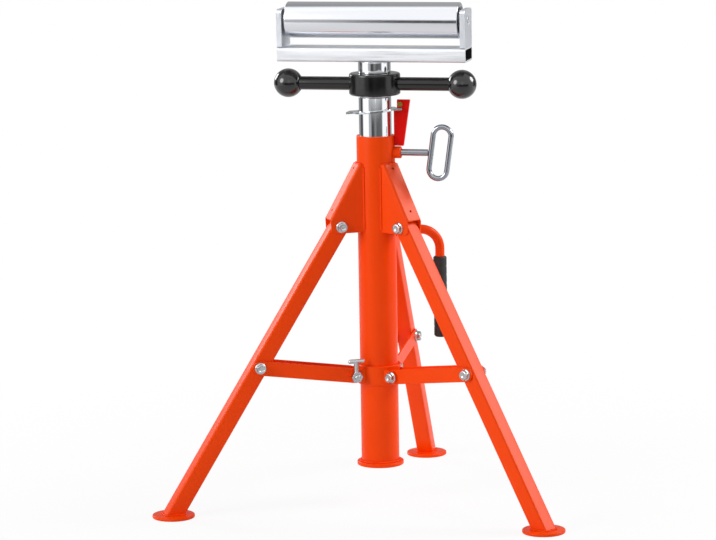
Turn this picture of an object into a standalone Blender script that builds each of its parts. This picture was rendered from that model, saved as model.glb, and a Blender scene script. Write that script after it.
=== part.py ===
# Folding three-legged roller stand for pipe work.
# A steel column carries three folding legs tied to a sliding collar by channel braces.
# A chromed mast slides in the column and is held by a tilting lock plate and a clamp screw.
# A jack nut with two ball-ended bars raises the screw that carries the roller head.

from math import acos, asin, atan, cos, degrees, hypot, pi, radians, sin, sqrt, tan

import bmesh
import bpy
from mathutils import Matrix, Vector

MM = 0.001

# Gaps between neighbours: a weld or seat, and a running fit on the radius.
SEAT = 0.3 * MM
RUN = 0.35 * MM

# Tripod: plan angles of the legs, foot circle, feet.
LEG_ANGLES = {"left": 210, "right": 330, "back": 90}
FOOT_CIRCLE_R = 322 * MM
FOOT_R = 31.5 * MM
FOOT_T = 5 * MM
FOOT_EDGE = 1 * MM

# Legs: square tube on a pivot bolt under each bracket.
LEG_SIZE = 25 * MM
LEG_WALL = 2 * MM
LEG_CORNER = 3 * MM
LEG_HEAD = 9 * MM
LEG_PIVOT_R = 59 * MM
LEG_PIVOT_Z = 422 * MM
LEG_TO_BRACE = 241.6 * MM

# Column: outer tube and its bottom flange.
COLUMN_R = 28.5 * MM
COLUMN_UP = 133 * MM
COLUMN_TOP = LEG_PIVOT_Z + COLUMN_UP
FLANGE_R = 35 * MM
FLANGE_T = 6 * MM
FLANGE_Z = 56 * MM
FLANGE_HOLE_R = 10 * MM
FLANGE_EDGE = 1.5 * MM

# Brackets: folded channels welded to the column, one over each leg.
BRACKET_DOWN = 41 * MM
BRACKET_TOP = COLUMN_TOP - BRACKET_DOWN
BRACKET_TOP_R = 31 * MM
WEB_END_UP = 12 * MM
WEB_END_Z = LEG_PIVOT_Z + WEB_END_UP
WEB_END_OUT = 16.8 * MM
WEB_SLOPE = (LEG_PIVOT_R + WEB_END_OUT - BRACKET_TOP_R) / (BRACKET_TOP - WEB_END_Z)
SHEET = 2.5 * MM
CHEEK_GAP = 0.6 * MM
CHEEK_LOW = 9.5 * MM
CHEEK_NOSE = 13 * MM
WEB_HOLE_R = 2 * MM
WEB_HOLE_DOWN = 6.5 * MM
WEB_HOLE_UP = 12.5 * MM
FOLD_R = 3.5 * MM

# Braces: U channels, open upwards, between the collar and the legs.
BRACE_SHEET = 2 * MM
BRACE_DEPTH = 22 * MM
BRACE_SIDE_GAP = 0.8 * MM
BRACE_WEB_START = 19 * MM
BRACE_WEB_CLEAR = 68 * MM
BRACE_FOLD_R = 2 * MM

# Collar: sliding ring with three pairs of ears.
COLLAR_Z = 196 * MM
COLLAR_R = 33 * MM
COLLAR_H = 29 * MM
COLLAR_EDGE = 1 * MM
COLLAR_PIVOT_R = 42 * MM
EAR_R = 9 * MM
EAR_T = 2.5 * MM
EAR_GAP = 0.6 * MM

# Fasteners.
BOLT_R = 4 * MM
HEX_FLATS = 13 * MM
HEX_H = 5.5 * MM
NUT_H = 7 * MM
WASHER_R = 8.5 * MM
WASHER_T = 1.6 * MM
THREAD_END = 2.5 * MM
BOLT_EDGE = 1 * MM
HEX_EDGE = 0.8 * MM

# Clamping nut with a T lever on the left collar bolt.
LEVER_FLATS = 15 * MM
LEVER_NUT_H = 9 * MM
LEVER_STEM_R = 4 * MM
LEVER_HEIGHT = 24 * MM
LEVER_BAR_R = 3.2 * MM
LEVER_BAR_L = 25 * MM
LEVER_EDGE = 1 * MM

# Mast, jack screw, jack nut and its bars.
MAST_R = 24.15 * MM
MAST_WALL = 3.2 * MM
MAST_OUT = 57.3 * MM
MAST_TOP = COLUMN_TOP + MAST_OUT
MAST_BOTTOM = 130 * MM
WASHER_RING_T = 2.4 * MM
SCREW_R = 15 * MM
SCREW_DOWN = 142.3 * MM
SCREW_BOTTOM = MAST_TOP - SCREW_DOWN
SCREW_POINT = 3 * MM
HUB_R = 38 * MM
HUB_H = 32.5 * MM
HUB_EDGE = 4 * MM
BAR_R = 10 * MM
BAR_SEAT = 13 * MM
BALL_R = 21.5 * MM
BALL_CENTRE = 132 * MM
BALL_FLAT = 18 * MM
BALL_BORE = 17 * MM
BALL_ROWS = 10
BAR_EDGE = 1 * MM

# Roller head.
HEAD_L = 285 * MM
HEAD_W = 50 * MM
HEAD_H = 21 * MM
HEAD_WALL = 2.5 * MM
HEAD_CORNER = 4 * MM
SOCKET_WALL = 3 * MM
SOCKET_H = 17.2 * MM
PLATE_T = 8 * MM
PLATE_H = 56 * MM
PLATE_CORNER = 5 * MM
AXLE_R = 6 * MM
AXLE_UP = 39 * MM
AXLE_EDGE = 1 * MM
ROLLER_R = 26.75 * MM
ROLLER_WALL = 4 * MM
ROLLER_SIDE_GAP = 4 * MM
ROLLER_EDGE = 1 * MM
BEARING_W = 12 * MM
SPACER_R = 9.5 * MM

# Clamp screw with its closed oval handle.
CLAMP_DOWN = 25.5 * MM
CLAMP_Z = COLUMN_TOP - CLAMP_DOWN
CLAMP_R = 5 * MM
BOSS_R = 9 * MM
BOSS_END = 39 * MM
CLAMP_END = 80 * MM
CLAMP_EDGE = 1 * MM
LOOP_LONG = 85.5 * MM
LOOP_WIDE = 35 * MM
LOOP_ROD_R = 4 * MM
LOOP_LEAN = radians(8)

# Lock plate that grips the mast, its bracket and cross pin.
LOCK_T = 3 * MM
LOCK_HOLE_SPARE = 1.0 * MM
LOCK_RIM = 7 * MM
LOCK_TAB_W = 22 * MM
LOCK_TAB_END = 42 * MM
LOCK_TAIL = 12 * MM
LOCK_TILT = radians(4.8)
LOCK_BRACKET_T = 5 * MM
LOCK_OVER_BOSS = 1 * MM
LOCK_BRACKET_LOW = CLAMP_Z + BOSS_R + LOCK_OVER_BOSS
LOCK_UNDER_MAST = 4 * MM
LOCK_BRACKET_TOP = MAST_TOP - LOCK_UNDER_MAST
LOCK_STEP_DOWN = 16 * MM
LOCK_STEP_Z = LOCK_BRACKET_TOP - LOCK_STEP_DOWN
LOCK_STEP = 5 * MM
LOCK_WIDE_LOW = 14 * MM
LOCK_WIDE_TOP = 24.5 * MM
PIN_R = 2.5 * MM
PIN_HEAD_R = 4 * MM
PIN_HEAD_T = 1.5 * MM
PIN_UP = 9 * MM
PIN_OUT = 10 * MM

# Carrying handle: bent tube welded to the column, with a moulded grip.
HANDLE_ANGLE = 30
HANDLE_R = 7 * MM
HANDLE_DOWN = 12.5 * MM
HANDLE_Z = LEG_PIVOT_Z - HANDLE_DOWN
HANDLE_OUT = 98 * MM
HANDLE_BEND = 31 * MM
GRIP_R = 10 * MM
GRIP_UNDER_BEND = 11.5 * MM
GRIP_TOP = HANDLE_Z - HANDLE_BEND - GRIP_UNDER_BEND
GRIP_L = 122.5 * MM
GRIP_END = 6 * MM
GRIP_EDGE = 2 * MM

# Facets round each kind of turned piece, steps along a bend, and how bent rod is rounded.
FINE, MEDIUM, COARSE = 40, 24, 12
BEND_STEPS = 8
ROD_ROUNDING = 3
SMOOTH_ANGLE = radians(35)
TINY = 1e-6

# Worked out from the sizes above.
BORE_R = MAST_R + RUN
INSIDE_COLUMN = 0.7 * COLUMN_R
LEG_TILT = atan((FOOT_CIRCLE_R - LEG_PIVOT_R) / (LEG_PIVOT_Z - FOOT_T))
BRACE_PIVOT_R = LEG_PIVOT_R + LEG_TO_BRACE * sin(LEG_TILT)
BRACE_PIVOT_Z = LEG_PIVOT_Z - LEG_TO_BRACE * cos(LEG_TILT)
BRACE_L = hypot(BRACE_PIVOT_R - COLLAR_PIVOT_R, BRACE_PIVOT_Z - COLLAR_Z)
BRACE_RISE = atan((BRACE_PIVOT_Z - COLLAR_Z) / (BRACE_PIVOT_R - COLLAR_PIVOT_R))
BRACE_INSIDE = LEG_SIZE + 2 * BRACE_SIDE_GAP
BRACE_OUTSIDE = BRACE_INSIDE + 2 * BRACE_SHEET
EAR_INSIDE = BRACE_OUTSIDE + 2 * EAR_GAP
CHEEK_INSIDE = LEG_SIZE + 2 * CHEEK_GAP
CHEEK_OUTSIDE = CHEEK_INSIDE + 2 * SHEET
HUB_Z = MAST_TOP + WASHER_RING_T + 2 * SEAT
HEAD_Z = HUB_Z + HUB_H + SOCKET_H + 2 * SEAT
PLATE_Z = HEAD_Z + HEAD_H + SEAT
AXLE_Z = PLATE_Z + AXLE_UP
LOCK_PIVOT = (COLUMN_R + SEAT + LOCK_STEP / 2, LOCK_STEP_Z + SEAT)


def clear_scene():
    for item in list(bpy.data.objects):
        bpy.data.objects.remove(item, do_unlink=True)


def paint(name, colour, roughness, metallic):
    made = bpy.data.materials.new(name)
    made.use_nodes = True
    shader = made.node_tree.nodes["Principled BSDF"]
    shader.inputs["Base Color"].default_value = (*colour, 1)
    shader.inputs["Roughness"].default_value = roughness
    shader.inputs["Metallic"].default_value = metallic
    made.diffuse_color = (*colour, 1)
    return made


def empty(name, location=(0, 0, 0), rotation=(0, 0, 0), parent=None):
    made = bpy.data.objects.new(name, None)
    bpy.context.collection.objects.link(made)
    made.parent = parent
    made.location = location
    made.rotation_euler = rotation
    return made


def piece(name, bm, material, parent, location=(0, 0, 0), rotation=(0, 0, 0)):
    """Turn a bmesh into a named, smooth-shaded object."""
    bmesh.ops.remove_doubles(bm, verts=bm.verts, dist=TINY)
    bmesh.ops.recalc_face_normals(bm, faces=bm.faces)
    mesh = bpy.data.meshes.new(name)
    bm.to_mesh(mesh)
    bm.free()
    mesh.materials.append(material)
    mesh.shade_smooth()
    mesh.set_sharp_from_angle(angle=SMOOTH_ANGLE)
    made = bpy.data.objects.new(name, mesh)
    bpy.context.collection.objects.link(made)
    made.parent = parent
    made.location = location
    made.rotation_euler = rotation
    return made


def reshape(target, tool, operation="DIFFERENCE"):
    """Cut or join with a shape given in the target's own frame."""
    guide = piece(f"{target.name}_tool", tool, target.data.materials[0], target)
    guide.hide_render = True
    guide.display_type = "WIRE"
    change = target.modifiers.new(operation.lower(), "BOOLEAN")
    change.operation = operation
    change.object = guide
    return target


def turned(profile, steps, closed=False):
    """Revolve (radius, height) points about Z; a closed profile makes a ring."""
    bm = bmesh.new()
    points = [bm.verts.new((r, 0, z)) for r, z in profile]
    pairs = list(zip(points, points[1:]))
    if closed:
        pairs.append((points[-1], points[0]))
    lines = [bm.edges.new(pair) for pair in pairs]
    bmesh.ops.spin(bm, geom=points + lines, cent=(0, 0, 0), axis=(0, 0, 1), angle=2 * pi,
                   steps=steps, use_merge=True)
    bmesh.ops.remove_doubles(bm, verts=bm.verts, dist=TINY)
    return bm


def ring(inner, outer, low, high, steps, edge=0.0):
    """A tube or washer, with its outer edges chamfered."""
    profile = [(inner, low), (outer - edge, low), (outer, low + edge), (outer, high - edge),
               (outer - edge, high), (inner, high)]
    if not edge:
        profile = [(inner, low), (outer, low), (outer, high), (inner, high)]
    return turned(profile, steps, closed=True)


def rod(radius, low, high, steps, edge=0.0):
    profile = [(0, low), (radius - edge, low), (radius, low + edge), (radius, high - edge),
               (radius - edge, high), (0, high)]
    if not edge:
        profile = [(0, low), (radius, low), (radius, high), (0, high)]
    return turned(profile, steps)


def arc(centre, radius, start, end, count):
    """Points along an arc, angles in degrees."""
    turn = [radians(start + (end - start) * i / count) for i in range(count + 1)]
    return [(centre[0] + radius * cos(a), centre[1] + radius * sin(a)) for a in turn]


def rounded_rectangle(width, height, radius, count=3):
    x, y = width / 2 - radius, height / 2 - radius
    corners = (((x, y), 0), ((-x, y), 90), ((-x, -y), 180), ((x, -y), 270))
    return [p for centre, a in corners for p in arc(centre, radius, a, a + 90, count)]


def side_plate(outline, near, far):
    """Extrude an outline of (x, z) points from y = near to y = far."""
    bm = bmesh.new()
    face = bm.faces.new([bm.verts.new((x, near, z)) for x, z in outline])
    grown = bmesh.ops.extrude_face_region(bm, geom=[face])["geom"]
    moved = [g for g in grown if isinstance(g, bmesh.types.BMVert)]
    bmesh.ops.translate(bm, verts=moved, vec=(0, far - near, 0))
    bmesh.ops.recalc_face_normals(bm, faces=bm.faces)
    return bm


def block(low, high):
    outline = [(low[0], low[2]), (high[0], low[2]), (high[0], high[2]), (low[0], high[2])]
    return side_plate(outline, low[1], high[1])


def combined(*meshes):
    """Several separate shapes in one bmesh, for use as one cutting tool."""
    bm = bmesh.new()
    for part in meshes:
        held = bpy.data.meshes.new("held")
        part.to_mesh(held)
        part.free()
        bm.from_mesh(held)
        bpy.data.meshes.remove(held)
    return bm


def turned_to(bm, axis, offset=(0, 0, 0)):
    """Swing a shape made along Z to another axis, then move it."""
    swing = Vector((0, 0, 1)).rotation_difference(Vector(axis)).to_matrix().to_4x4()
    bm.transform(Matrix.Translation(offset) @ swing)
    return bm


def outline_ring(bm, outline, height):
    return [bm.verts.new((x, y, height(x, y))) for x, y in outline]


def hollow_bar(outer, inner, low, high):
    """A tube along Z; low and high give the end heights at each point."""
    bm = bmesh.new()
    rings = [outline_ring(bm, outer, low), outline_ring(bm, outer, high),
             outline_ring(bm, inner, high), outline_ring(bm, inner, low)]
    count = len(outer)
    for a, b in zip(rings, rings[1:] + rings[:1]):
        for i in range(count):
            j = (i + 1) % count
            bm.faces.new((a[i], a[j], b[j], b[i]))
    return bm


def hex_stack(sections, closed=False):
    """Loft rings of (height, size, kind), kind round or hex, with a point on each corner and flat."""
    bm = bmesh.new()
    sides = 12
    rings = []
    for z, size, kind in sections:
        row = []
        for i in range(sides):
            grow = 1 / cos(pi / 6) if kind == "hex" and i % 2 == 0 else 1
            turn = i * 2 * pi / sides
            row.append(bm.verts.new((size * grow * cos(turn), size * grow * sin(turn), z)))
        rings.append(row)
    pairs = list(zip(rings, rings[1:]))
    if closed:
        pairs.append((rings[-1], rings[0]))
    for a, b in pairs:
        for i in range(sides):
            j = (i + 1) % sides
            bm.faces.new((a[i], a[j], b[j], b[i]))
    if not closed:
        bm.faces.new(rings[0])
        bm.faces.new(rings[-1])
    return bm


def bolt(name, tip, seat, parent, location, side):
    """Flanged hex bolt across a joint: head seated at height seat, end at tip."""
    flats = HEX_FLATS / 2
    crown = seat + WASHER_T + HEX_H
    shape = hex_stack([(tip, BOLT_R - BOLT_EDGE, "round"), (tip + BOLT_EDGE, BOLT_R, "round"),
                       (seat, BOLT_R, "round"), (seat, WASHER_R, "round"),
                       (seat + WASHER_T, WASHER_R, "round"), (seat + WASHER_T, flats, "hex"),
                       (crown - HEX_EDGE, flats, "hex"), (crown, flats - HEX_EDGE, "round")])
    return piece(name, shape, ZINC, parent, location, (-side * pi / 2, 0, 0))


def nut(name, seat, parent, location, side):
    """Flanged hex nut on the far end of a bolt."""
    flats = HEX_FLATS / 2
    bore = BOLT_R + SEAT
    high = seat + WASHER_T + NUT_H
    shape = hex_stack([(seat, bore, "round"), (seat, WASHER_R, "round"),
                       (seat + WASHER_T, WASHER_R, "round"), (seat + WASHER_T, flats, "hex"),
                       (high - HEX_EDGE, flats, "hex"), (high, flats - HEX_EDGE, "round"),
                       (high, bore, "round")], closed=True)
    return piece(name, shape, ZINC, parent, location, (side * pi / 2, 0, 0))


def through_bolt(stem, half_width, parent, location, side, nut_height=NUT_H):
    """A bolt across a pair of plates whose outer faces stand half_width off centre."""
    seat = half_width + SEAT
    tip = -(seat + WASHER_T + nut_height + THREAD_END)
    bolt(f"{stem}_bolt", tip, seat, parent, location, side)
    return seat


def pin_cutter(radius, half_length, location=(0, 0, 0)):
    return turned_to(rod(radius, -half_length, half_length, COARSE), (0, 1, 0), location)


clear_scene()
ORANGE = paint("orange powder coat", (0.93, 0.07, 0.003), 0.35, 0.0)
RED = paint("red paint", (0.72, 0.004, 0.002), 0.35, 0.0)
CHROME = paint("chromed steel", (0.80, 0.81, 0.84), 0.12, 1.0)
ZINC = paint("zinc plated steel", (0.72, 0.73, 0.75), 0.3, 1.0)
BLACK = paint("black plastic", (0.012, 0.012, 0.013), 0.45, 0.0)
BRASS = paint("brass", (0.55, 0.36, 0.10), 0.3, 1.0)

# The column stands ahead of the middle of the three feet.
AXIS = empty("column_axis", (0, -FOOT_CIRCLE_R / 4, 0))
COLLAR = empty("collar_slide_axis", (0, 0, COLLAR_Z), parent=AXIS)
MAST = empty("mast_axis", parent=AXIS)
HEAD = empty("head_axis", (0, 0, HEAD_Z), parent=MAST)


def column_and_flange():
    tube = piece("column_tube", ring(BORE_R, COLUMN_R, FLANGE_Z + FLANGE_T + SEAT, COLUMN_TOP, FINE),
                 ORANGE, AXIS)
    clearance = CLAMP_R + RUN
    reshape(tube, turned_to(rod(clearance, 0, COLUMN_R * 2, COARSE), (1, 0, 0), (0, 0, CLAMP_Z)))
    disc = ring(FLANGE_HOLE_R, FLANGE_R, FLANGE_Z, FLANGE_Z + FLANGE_T, FINE, FLANGE_EDGE)
    piece("base_flange", disc, ORANGE, AXIS)


def bracket(side, station):
    """Folded channel: sloping web outside, a cheek on each side of the leg."""
    def web_r(z):
        return BRACKET_TOP_R + (BRACKET_TOP - z) * WEB_SLOPE

    low = LEG_PIVOT_Z - CHEEK_LOW
    nose = LEG_PIVOT_R + CHEEK_NOSE
    outline = [(INSIDE_COLUMN, BRACKET_TOP), (web_r(BRACKET_TOP), BRACKET_TOP), (web_r(WEB_END_Z), WEB_END_Z),
               (nose + SHEET, low + SHEET), (nose - SHEET, low), (INSIDE_COLUMN, low)]
    shape = side_plate(outline, -CHEEK_OUTSIDE / 2, CHEEK_OUTSIDE / 2)
    folds = [e for e in shape.edges
             if all(abs(v.co.x - web_r(v.co.z)) < TINY for v in e.verts)
             and abs(e.verts[0].co.y - e.verts[1].co.y) < TINY]
    bmesh.ops.bevel(shape, geom=folds, offset=FOLD_R, segments=3, profile=0.5, affect="EDGES")
    made = piece(f"{side}_bracket", shape, ORANGE, station)
    inward = SHEET * sqrt(1 + WEB_SLOPE ** 2)
    over, under = BRACKET_TOP + SHEET, low - SHEET
    hollow = [(0, over), (web_r(over) - inward, over), (web_r(WEB_END_Z) - inward, WEB_END_Z),
              (web_r(WEB_END_Z) + inward, WEB_END_Z - inward), (web_r(WEB_END_Z) + inward, under),
              (0, under)]
    reshape(made, side_plate(hollow, -CHEEK_INSIDE / 2, CHEEK_INSIDE / 2))
    reshape(made, rod(COLUMN_R + SEAT, under - SHEET, over + SHEET, FINE))
    reshape(made, pin_cutter(BOLT_R + SEAT, CHEEK_OUTSIDE, (LEG_PIVOT_R, 0, LEG_PIVOT_Z)))
    for z in (BRACKET_TOP - WEB_HOLE_DOWN, WEB_END_Z + WEB_HOLE_UP):
        small = rod(WEB_HOLE_R, -3 * SHEET, 3 * SHEET, COARSE)
        reshape(made, turned_to(small, (1, 0, WEB_SLOPE), (web_r(z), 0, z)))
    visible = 1 if side == "left" else -1
    where = (LEG_PIVOT_R, 0, LEG_PIVOT_Z)
    seat = through_bolt(f"{side}_leg_pivot", CHEEK_OUTSIDE / 2, station, where, visible)
    nut(f"{side}_leg_pivot_nut", seat, station, where, visible)


def leg(side, station):
    """Square tube, cut level at the foot, with its disc foot."""
    pivot = empty(f"{side}_leg_pivot_axis", (LEG_PIVOT_R, 0, LEG_PIVOT_Z), (0, -LEG_TILT, 0), station)
    outer = rounded_rectangle(LEG_SIZE, LEG_SIZE, LEG_CORNER)
    inner_size = LEG_SIZE - 2 * LEG_WALL
    inner = rounded_rectangle(inner_size, inner_size, LEG_CORNER - LEG_WALL)
    floor = FOOT_T + SEAT - LEG_PIVOT_Z

    def level(x, y):
        return (floor - x * sin(LEG_TILT)) / cos(LEG_TILT)

    made = piece(f"{side}_leg", hollow_bar(outer, inner, level, lambda x, y: LEG_HEAD), ORANGE, pivot)
    reshape(made, pin_cutter(BOLT_R + SEAT, LEG_SIZE))
    foot = rod(FOOT_R, 0, FOOT_T, FINE, FOOT_EDGE)
    to_foot = Matrix.Rotation(LEG_TILT, 3, "Y") @ Vector((FOOT_CIRCLE_R - LEG_PIVOT_R, 0, -LEG_PIVOT_Z))
    piece(f"{side}_foot", foot, ORANGE, pivot, to_foot, (0, LEG_TILT, 0))


def brace(side, station):
    """U channel with rounded flange ends; the web stops short of the leg."""
    turn = empty(f"{side}_brace_axis", (COLLAR_PIVOT_R, 0, COLLAR_Z), (0, -BRACE_RISE, 0), station)
    half = BRACE_DEPTH / 2
    outline = arc((BRACE_L, 0), half, -90, 90, BEND_STEPS) + arc((0, 0), half, 90, 270, BEND_STEPS)
    shape = side_plate(outline, -BRACE_OUTSIDE / 2, BRACE_OUTSIDE / 2)
    folds = [e for e in shape.edges
             if all(abs(v.co.z + half) < TINY for v in e.verts)
             and abs(e.verts[0].co.y - e.verts[1].co.y) < TINY]
    bmesh.ops.bevel(shape, geom=folds, offset=BRACE_FOLD_R, segments=2, profile=0.5, affect="EDGES")
    made = piece(f"{side}_brace", shape, ORANGE, turn)
    web_end = BRACE_L - BRACE_WEB_CLEAR
    floor = BRACE_SHEET - half
    wide = BRACE_INSIDE / 2
    reach = half * 2
    reshape(made, combined(block((-reach, -wide, -reach), (BRACE_WEB_START, wide, reach)),
                           block((web_end, -wide, -reach), (BRACE_L + reach, wide, reach))))
    reshape(made, block((-reach, -wide, floor), (BRACE_L + reach, wide, reach)))
    reshape(made, combined(pin_cutter(BOLT_R + SEAT, BRACE_OUTSIDE),
                           pin_cutter(BOLT_R + SEAT, BRACE_OUTSIDE, (BRACE_L, 0, 0))))
    for face in (-1, 1):
        word = "near" if face == (1 if side == "left" else -1) else "far"
        bolt(f"{side}_brace_bolt_{word}", LEG_SIZE / 2 + SEAT, BRACE_OUTSIDE / 2 + SEAT, turn,
             (BRACE_L, 0, 0), face)


def collar():
    """Sliding ring with three pairs of ears outside the brace ends."""
    made = piece("collar", rod(COLLAR_R, -COLLAR_H / 2, COLLAR_H / 2, FINE, COLLAR_EDGE), ORANGE, COLLAR)
    ears, holes = [], []
    for angle in LEG_ANGLES.values():
        spin = Matrix.Rotation(radians(angle), 4, "Z")
        nose = arc((COLLAR_PIVOT_R, 0), EAR_R, -90, 90, BEND_STEPS)
        outline = nose + [(INSIDE_COLUMN, EAR_R), (INSIDE_COLUMN, -EAR_R)]
        for face in (-1, 1):
            near = face * EAR_INSIDE / 2
            ear = side_plate(outline, near, near + face * EAR_T)
            ear.transform(spin)
            ears.append(ear)
        hole = pin_cutter(BOLT_R + SEAT, EAR_INSIDE, (COLLAR_PIVOT_R, 0, 0))
        hole.transform(spin)
        holes.append(hole)
    reshape(made, combined(*ears), "UNION")
    reshape(made, rod(COLUMN_R + RUN, -COLLAR_H, COLLAR_H, FINE))
    reshape(made, combined(*holes))
    for side, angle in LEG_ANGLES.items():
        station = empty(f"{side}_ear_axis", rotation=(0, 0, radians(angle)), parent=COLLAR)
        visible = 1 if side == "left" else -1
        where = (COLLAR_PIVOT_R, 0, 0)
        ear_face = EAR_INSIDE / 2 + EAR_T
        if side == "left":
            seat = through_bolt("left_collar", ear_face, station, where, -visible, LEVER_NUT_H)
            lever_nut(seat, station, where)
        else:
            seat = through_bolt(f"{side}_collar", ear_face, station, where, visible)
            nut(f"{side}_collar_nut", seat, station, where, visible)


def lever_nut(seat, station, where):
    """Hex clamping nut with an upright stem and a short cross grip."""
    bore = BOLT_R + SEAT
    flats = LEVER_FLATS / 2
    shape = hex_stack([(seat, bore, "round"), (seat, flats, "hex"),
                       (seat + LEVER_NUT_H, flats, "hex"), (seat + LEVER_NUT_H, bore, "round")],
                      closed=True)
    made = piece("fold_clamp_nut", shape, ZINC, station, where, (-pi / 2, 0, 0))
    middle = seat + LEVER_NUT_H / 2
    stem = turned_to(rod(LEVER_STEM_R, flats - LEVER_EDGE, LEVER_HEIGHT, COARSE), (0, -1, 0), (0, 0, middle))
    reshape(made, stem, "UNION")
    grip = rod(LEVER_BAR_R, -LEVER_BAR_L / 2, LEVER_BAR_L / 2, COARSE, LEVER_EDGE)
    reshape(made, turned_to(grip, (1, 0, 0), (0, -LEVER_HEIGHT, middle)), "UNION")


def mast_and_jack():
    piece("mast_tube", ring(MAST_R - MAST_WALL, MAST_R, MAST_BOTTOM, MAST_TOP, FINE), CHROME, MAST)
    low = MAST_TOP + SEAT
    piece("thrust_washer", ring(SCREW_R + 2 * RUN, MAST_R, low, low + WASHER_RING_T, MEDIUM), ZINC, MAST)
    screw = rod(SCREW_R, SCREW_BOTTOM, HEAD_Z - SEAT, MEDIUM, SCREW_POINT)
    piece("jack_screw", screw, CHROME, MAST)
    hub = piece("jack_nut", ring(SCREW_R + RUN, HUB_R, -HUB_H / 2, HUB_H / 2, FINE, HUB_EDGE), BLACK,
                MAST, (0, 0, HUB_Z + HUB_H / 2))
    seats = []
    for way in (-1, 1):
        seats.append(turned_to(rod(BAR_R + SEAT, HUB_R - BAR_SEAT, 2 * HUB_R, COARSE), (way, 0, 0)))
    reshape(hub, combined(*seats))
    bore = BAR_R + SEAT
    bore_end = BALL_BORE - BALL_FLAT
    turn = acos(-BALL_FLAT / BALL_R) / BALL_ROWS
    ball = [(BALL_R * sin(turn * i), BALL_R * cos(turn * i)) for i in range(BALL_ROWS + 1)]
    ball += [(bore, -BALL_FLAT), (bore, bore_end), (0, bore_end)]
    for way, word in ((-1, "left"), (1, "right")):
        start = HUB_R - BAR_SEAT + SEAT
        end = BALL_CENTRE + bore_end - SEAT
        where = (0, 0, HUB_Z + HUB_H / 2)
        bar = turned_to(rod(BAR_R, start, end, COARSE, BAR_EDGE), (way, 0, 0))
        piece(f"{word}_turning_bar", bar, BLACK, MAST, where)
        knob = turned_to(turned(ball, MEDIUM), (way, 0, 0), (way * BALL_CENTRE, 0, 0))
        piece(f"{word}_ball_knob", knob, BLACK, MAST, where)


def roller_head():
    socket = ring(MAST_R - SOCKET_WALL, MAST_R, -SOCKET_H - SEAT, -SEAT, FINE)
    piece("head_socket", socket, CHROME, HEAD)
    outer = rounded_rectangle(HEAD_W, HEAD_H, HEAD_CORNER)
    inner = rounded_rectangle(HEAD_W - 2 * HEAD_WALL, HEAD_H - 2 * HEAD_WALL, HEAD_CORNER - HEAD_WALL)
    base = hollow_bar(outer, inner, lambda x, y: -HEAD_L / 2, lambda x, y: HEAD_L / 2)
    base.transform(Matrix.Translation((0, 0, HEAD_H / 2)) @ Matrix.Rotation(pi / 2, 4, "Y")
                   @ Matrix.Rotation(pi / 2, 4, "Z"))
    piece("head_base_tube", base, CHROME, HEAD)
    floor = PLATE_Z - HEAD_Z
    axle_z = AXLE_Z - HEAD_Z
    half = HEAD_W / 2
    inset = HEAD_L / 2 - PLATE_T
    corner = PLATE_CORNER
    top = floor + PLATE_H
    outline = [(-half, floor), (half, floor)]
    outline += arc((half - corner, top - corner), corner, 0, 90, 3)
    outline += arc((corner - half, top - corner), corner, 90, 180, 3)
    axle_hole = AXLE_R + SEAT
    for way, word in ((-1, "left"), (1, "right")):
        plate = side_plate(outline, 0, PLATE_T)
        plate.transform(Matrix.Rotation(-way * pi / 2, 4, "Z"))
        plate.transform(Matrix.Translation((way * inset, 0, 0)))
        made = piece(f"{word}_end_plate", plate, CHROME, HEAD)
        reach = turned_to(rod(axle_hole, 0, HEAD_L, COARSE), (way, 0, 0), (0, 0, axle_z))
        reshape(made, reach)
        edge = inset - ROLLER_SIDE_GAP
        bearing = ring(axle_hole, ROLLER_R - ROLLER_WALL - SEAT, edge - BEARING_W, edge - ROLLER_EDGE,
                       MEDIUM, ROLLER_EDGE)
        piece(f"{word}_bearing", turned_to(bearing, (way, 0, 0)), ZINC, HEAD, (0, 0, axle_z))
        spacer = ring(axle_hole, SPACER_R, edge - ROLLER_EDGE + SEAT, inset - SEAT, COARSE)
        piece(f"{word}_spacer", turned_to(spacer, (way, 0, 0)), ZINC, HEAD, (0, 0, axle_z))
    long = inset - ROLLER_SIDE_GAP
    roller = turned_to(ring(ROLLER_R - ROLLER_WALL, ROLLER_R, -long, long, FINE, ROLLER_EDGE), (1, 0, 0))
    piece("roller", roller, CHROME, HEAD, (0, 0, axle_z))
    axle = turned_to(rod(AXLE_R, -HEAD_L / 2, HEAD_L / 2, COARSE, AXLE_EDGE), (1, 0, 0))
    piece("roller_axle", axle, ZINC, HEAD, (0, 0, axle_z))


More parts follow.
